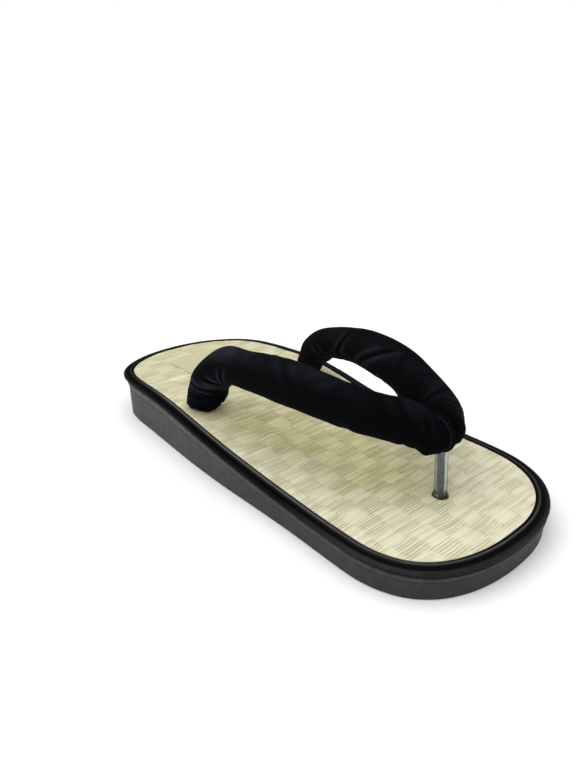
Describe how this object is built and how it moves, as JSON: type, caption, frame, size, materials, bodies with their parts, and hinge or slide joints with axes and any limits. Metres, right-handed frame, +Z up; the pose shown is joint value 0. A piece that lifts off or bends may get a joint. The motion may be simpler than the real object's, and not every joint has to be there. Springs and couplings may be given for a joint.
{
  "type": "zori sandal",
  "caption": "Flat thonged sandal with a woven rush footbed, a padded velvet V strap on a clear toe post and a black wedge sole.",
  "frame": {"origin": "middle of the sandal's whole box, on the floor under the sole", "axes": "+Z up, +Y towards the heel, -Y towards the toe, +X towards the inner side of the right foot"},
  "size_m": [0.1208, 0.27, 0.0654],
  "materials": {
    "sole_foam": "matte moulded foam rubber",
    "rush_mat": "woven rush, satin straws",
    "vinyl_binding": "black vinyl, half gloss",
    "velvet": "black velvet with a soft sheen",
    "clear_tube": "clear glossy tube",
    "post_cord": "grey cord",
    "label": "plain cream label, bare"
  },
  "bodies": {
    "root": {"sole": "sole_foam", "tatami_insole": "rush_mat", "edge_binding": "vinyl_binding", "strap_upper": "velvet", "toe_post_tube": "clear_tube", "toe_post_cord": "post_cord", "heel_label": "label"}
  },
  "joints": []
}
